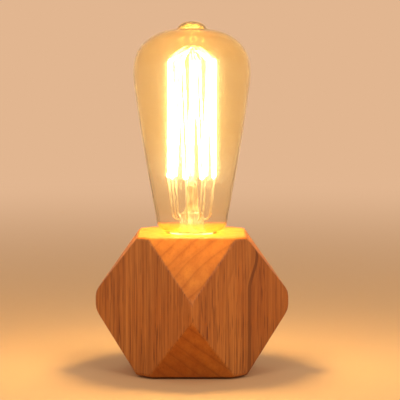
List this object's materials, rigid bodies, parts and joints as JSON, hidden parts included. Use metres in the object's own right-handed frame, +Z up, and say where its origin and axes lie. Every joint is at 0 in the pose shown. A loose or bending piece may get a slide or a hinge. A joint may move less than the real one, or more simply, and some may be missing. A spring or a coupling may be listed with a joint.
{
  "type": "bare bulb table lamp",
  "caption": "Table lamp: a corner-cut wooden cube holds a sunken E27 screw lampholder and a large pear-shaped squirrel cage bulb that unscrews upwards.",
  "frame": {"origin": "centre of the lamp's footprint on the surface that it stands on", "axes": "+Z up along the bulb's axis, -Y the front, which an upright edge of the wooden cube faces, +X to the right"},
  "size_m": [0.1064, 0.1064, 0.193],
  "materials": {
    "wood": "oiled hardwood, satin, lightly open grain",
    "felt": "dense felt",
    "black_plastic": "moulded, fine matt",
    "bakelite": "moulded phenolic, satin gloss",
    "zinc_steel": "zinc plated",
    "blackened_steel": "blackened",
    "brass": "turned, bare",
    "cap_brass": "pressed sheet, bright",
    "spring_bronze": "rolled strip",
    "porcelain": "glazed porcelain",
    "rubber": "matt",
    "solder": "tinned",
    "vitrite": "black pressed glass, opaque",
    "cement": "cast capping cement",
    "amber_glass": "clear blown glass with an amber tint",
    "stem_glass": "clear drawn glass",
    "hot_wire": "glowing support wire",
    "nickel_wire": "drawn nickel wire",
    "filament": "glowing filament"
  },
  "bodies": {
    "base": {"wood_block": "wood", "felt_pad": "felt", "bottom_cover": "black_plastic", "cover_screws": "zinc_steel", "cover_spacers": "brass", "fixing_plate": "zinc_steel", "plate_screws": "zinc_steel", "threaded_nipple": "brass", "nipple_nut": "brass", "toothed_washer": "zinc_steel", "holder_dome": "bakelite", "nipple_set_screw": "blackened_steel", "holder_skirt": "bakelite", "ceramic_core": "porcelain", "screw_shell": "brass", "contact_spring": "spring_bronze", "centre_terminal": "brass", "shell_terminal": "brass", "terminal_screws": "zinc_steel", "cord_bushing": "rubber"},
    "riser": {"cap_contact": "solder"},
    "bulb": {"bulb_cap": "cap_brass", "cap_insulator": "vitrite", "cap_cement": "cement", "glass_bulb": "amber_glass", "glass_stem": "stem_glass", "exhaust_tube": "stem_glass", "support_rod": "stem_glass", "upper_wires": "hot_wire", "lower_wires": "nickel_wire", "lead_wires": "nickel_wire", "filament": "filament"}
  },
  "joints": [
    {"name": "bulb_rise", "type": "slide", "parent": "base", "child": "riser", "axis": [0, 0, 1], "range_m": [0, 0.0131]},
    {"name": "bulb_turn", "type": "hinge", "parent": "riser", "child": "bulb", "pos_m": [0, 0, 0.076], "axis": [0, 0, 1], "range_deg": [0, 1296]}
  ],
  "couplings": [
    {"joint": "bulb_rise", "follows": "bulb_turn", "m_per_rad": 0.00057757}
  ]
}
